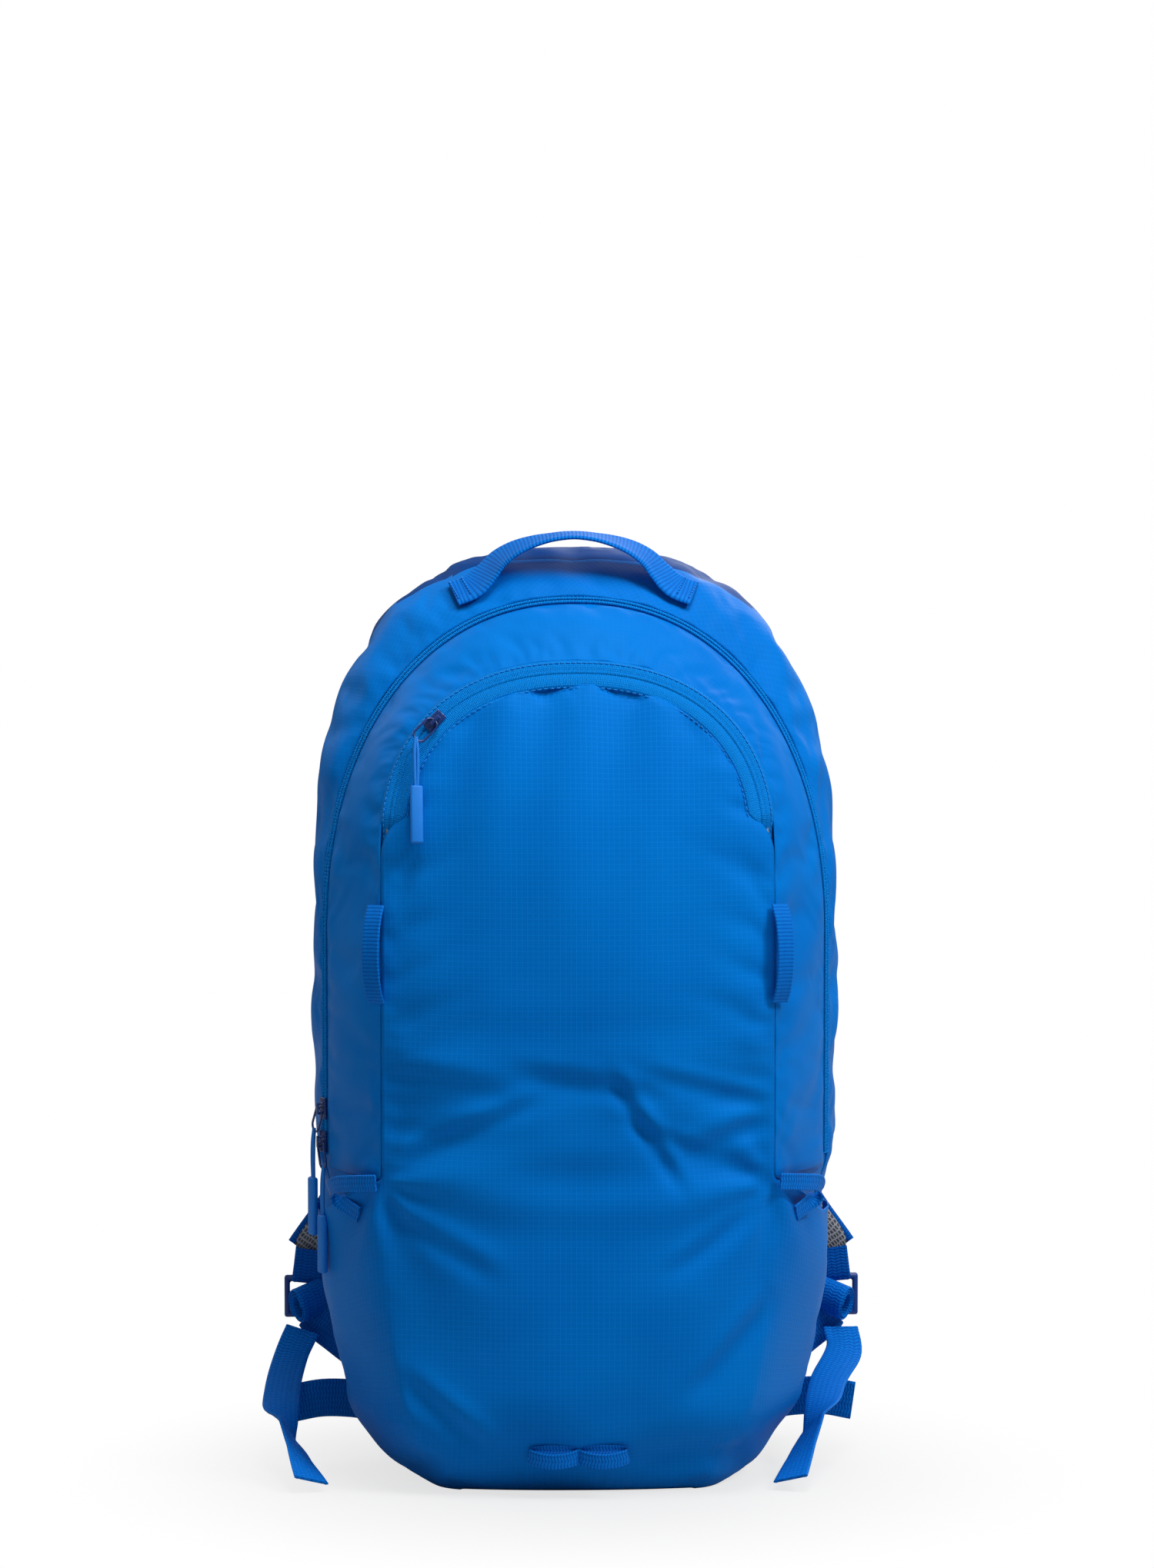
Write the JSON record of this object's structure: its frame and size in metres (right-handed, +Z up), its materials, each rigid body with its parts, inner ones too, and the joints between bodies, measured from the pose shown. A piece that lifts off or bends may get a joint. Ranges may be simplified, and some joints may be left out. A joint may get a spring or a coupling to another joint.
{
  "type": "daypack",
  "caption": "Small hiking daypack that stands on its base, with a panel-loading zip front, arched front pocket, side pockets, grab handle and padded shoulder straps.",
  "frame": {"origin": "centre of the flat base, on the ground", "axes": "+Z up, -Y towards the front panel, +Y towards the wearer's back, +X to the viewer's right when facing the front"},
  "size_m": [0.3117, 0.1806, 0.489],
  "materials": {
    "ripstop": "royal-blue ripstop nylon with a fine square grid, satin sheen",
    "navy_cloth": "navy plain-weave nylon",
    "mesh": "grey spacer mesh over foam",
    "lining": "thin grey lining cloth",
    "foam": "closed-cell foam",
    "sheet_plastic": "matt polyethylene sheet",
    "zip_tape": "woven zip tape with a nylon coil",
    "webbing": "ribbed nylon webbing",
    "hardware": "moulded acetal, fine texture",
    "slider_metal": "painted zip slider, satin",
    "pull_rubber": "moulded rubber tag on a braided cord"
  },
  "bodies": {
    "pack": {"lower_front": "ripstop", "side_pocket_left": "ripstop", "side_pocket_right": "ripstop", "side_panel_left": "ripstop", "side_panel_right": "ripstop", "base_panel": "navy_cloth", "rear_gusset_left": "ripstop", "rear_gusset_right": "ripstop", "rear_gusset_top": "navy_cloth", "back_panel": "mesh", "back_foam": "foam", "frame_sheet": "sheet_plastic", "back_pad_left": "mesh", "back_pad_right": "mesh", "lumbar_pad": "mesh", "strap_yoke": "navy_cloth", "reservoir_sleeve": "lining", "hanger_loop": "webbing", "main_zip_rear": "zip_tape", "pocket_loop_left": "webbing", "pocket_loop_right": "webbing", "light_loops": "webbing", "handle_feet": "webbing", "belt_webbing": "webbing", "adjuster_web_left": "webbing", "adjuster_web_right": "webbing", "tail_left": "webbing", "tail_right": "webbing"},
    "handle": {"grab_handle": "webbing"},
    "front_flap": {"front_panel": "ripstop", "front_gusset_left": "ripstop", "front_gusset_right": "ripstop", "front_gusset_top": "ripstop", "main_zip_front": "zip_tape", "front_zip_outer": "zip_tape", "pocket_back_wall": "lining", "gear_loop_left": "webbing", "gear_loop_right": "webbing", "key_tape": "webbing", "key_hook": "hardware"},
    "pocket_lip": {"pocket_lip": "ripstop", "front_zip_lip": "zip_tape"},
    "front_slider": {"front_slider": "slider_metal"},
    "front_pull": {"front_pull": "pull_rubber"},
    "lower_slider": {"lower_slider": "slider_metal"},
    "lower_pull": {"lower_pull": "pull_rubber"},
    "upper_slider": {"upper_slider": "slider_metal"},
    "upper_pull": {"upper_pull": "pull_rubber"},
    "strap_left": {"strap_left": "mesh", "sternum_rails_left": "webbing"},
    "strap_right": {"strap_right": "mesh", "sternum_rails_right": "webbing"},
    "sternum_left": {"sternum_slider_left": "hardware", "sternum_web_left": "webbing", "buckle_female": "hardware"},
    "sternum_right": {"sternum_slider_right": "hardware"},
    "buckle_male": {"buckle_male": "hardware", "sternum_web_right": "webbing"},
    "lock_left": {"ladder_lock_left": "hardware"},
    "lock_right": {"ladder_lock_right": "hardware"}
  },
  "joints": [
    {"name": "flap_open", "type": "hinge", "parent": "pack", "child": "front_flap", "pos_m": [0, -0.076, 0.166], "axis": [1, 0, 0], "range_deg": [0, 70]},
    {"name": "lip_open", "type": "hinge", "parent": "front_flap", "child": "pocket_lip", "pos_m": [0, -0.06562, 0.33204], "axis": [1, 0, 0], "range_deg": [0, 55]},
    {"name": "front_zip_run", "type": "hinge", "parent": "pocket_lip", "child": "front_slider", "pos_m": [0, -0.0574, 0.305], "axis": [0, 0.9759, -0.2181], "range_deg": [0, 88]},
    {"name": "front_pull_flip", "type": "hinge", "parent": "front_slider", "child": "front_pull", "pos_m": [-0.07168, -0.04078, 0.39172], "axis": [-0.7193, 0.1515, 0.6779], "range_deg": [0, 112]},
    {"name": "lower_zip_run", "type": "slide", "parent": "pack", "child": "lower_slider", "axis": [0, 0, 1], "range_m": [0, 0.04]},
    {"name": "upper_zip_run", "type": "slide", "parent": "lower_slider", "child": "upper_slider", "axis": [0, 0, 1], "range_m": [0, 0.045]},
    {"name": "lower_pull_flip", "type": "hinge", "parent": "lower_slider", "child": "lower_pull", "pos_m": [-0.13038, -0.01427, 0.174], "axis": [-0.4513, 0.8487, -0.2756], "range_deg": [0, 90]},
    {"name": "upper_pull_flip", "type": "hinge", "parent": "upper_slider", "child": "upper_pull", "pos_m": [-0.13038, -0.01427, 0.191], "axis": [-0.4114, 0.7737, 0.4818], "range_deg": [0, 120]},
    {"name": "strap_left_swing", "type": "hinge", "parent": "pack", "child": "strap_left", "pos_m": [-0.04, 0.0707, 0.444], "axis": [1, 0, 0], "range_deg": [0, 20], "deforming": ["adjuster_web_left", "tail_left"]},
    {"name": "strap_right_swing", "type": "hinge", "parent": "pack", "child": "strap_right", "pos_m": [0.04, 0.0707, 0.444], "axis": [1, 0, 0], "range_deg": [0, 20], "deforming": ["adjuster_web_right", "tail_right"]},
    {"name": "sternum_left_run", "type": "slide", "parent": "strap_left", "child": "sternum_left", "axis": [0, 0, 1], "range_m": [-0.009, 0.009]},
    {"name": "sternum_right_run", "type": "slide", "parent": "strap_right", "child": "sternum_right", "axis": [0, 0, 1], "range_m": [-0.009, 0.009]},
    {"name": "buckle_release", "type": "slide", "parent": "sternum_right", "child": "buckle_male", "axis": [1, 0, 0], "range_m": [0, 0.018]},
    {"name": "lock_left_tilt", "type": "hinge", "parent": "strap_left", "child": "lock_left", "pos_m": [-0.137, 0.074, 0.09], "axis": [1, 0, 0], "range_deg": [0, 25]},
    {"name": "lock_right_tilt", "type": "hinge", "parent": "strap_right", "child": "lock_right", "pos_m": [0.137, 0.074, 0.09], "axis": [1, 0, 0], "range_deg": [0, 25]},
    {"name": "handle_flop", "type": "hinge", "parent": "pack", "child": "handle", "pos_m": [0, 0.027, 0.458], "axis": [1, 0, 0], "range_deg": [-12, 60]}
  ],
  "couplings": [
    {"joint": "strap_right_swing", "follows": "strap_left_swing", "ratio": 1},
    {"joint": "sternum_right_run", "follows": "sternum_left_run", "ratio": 1}
  ]
}
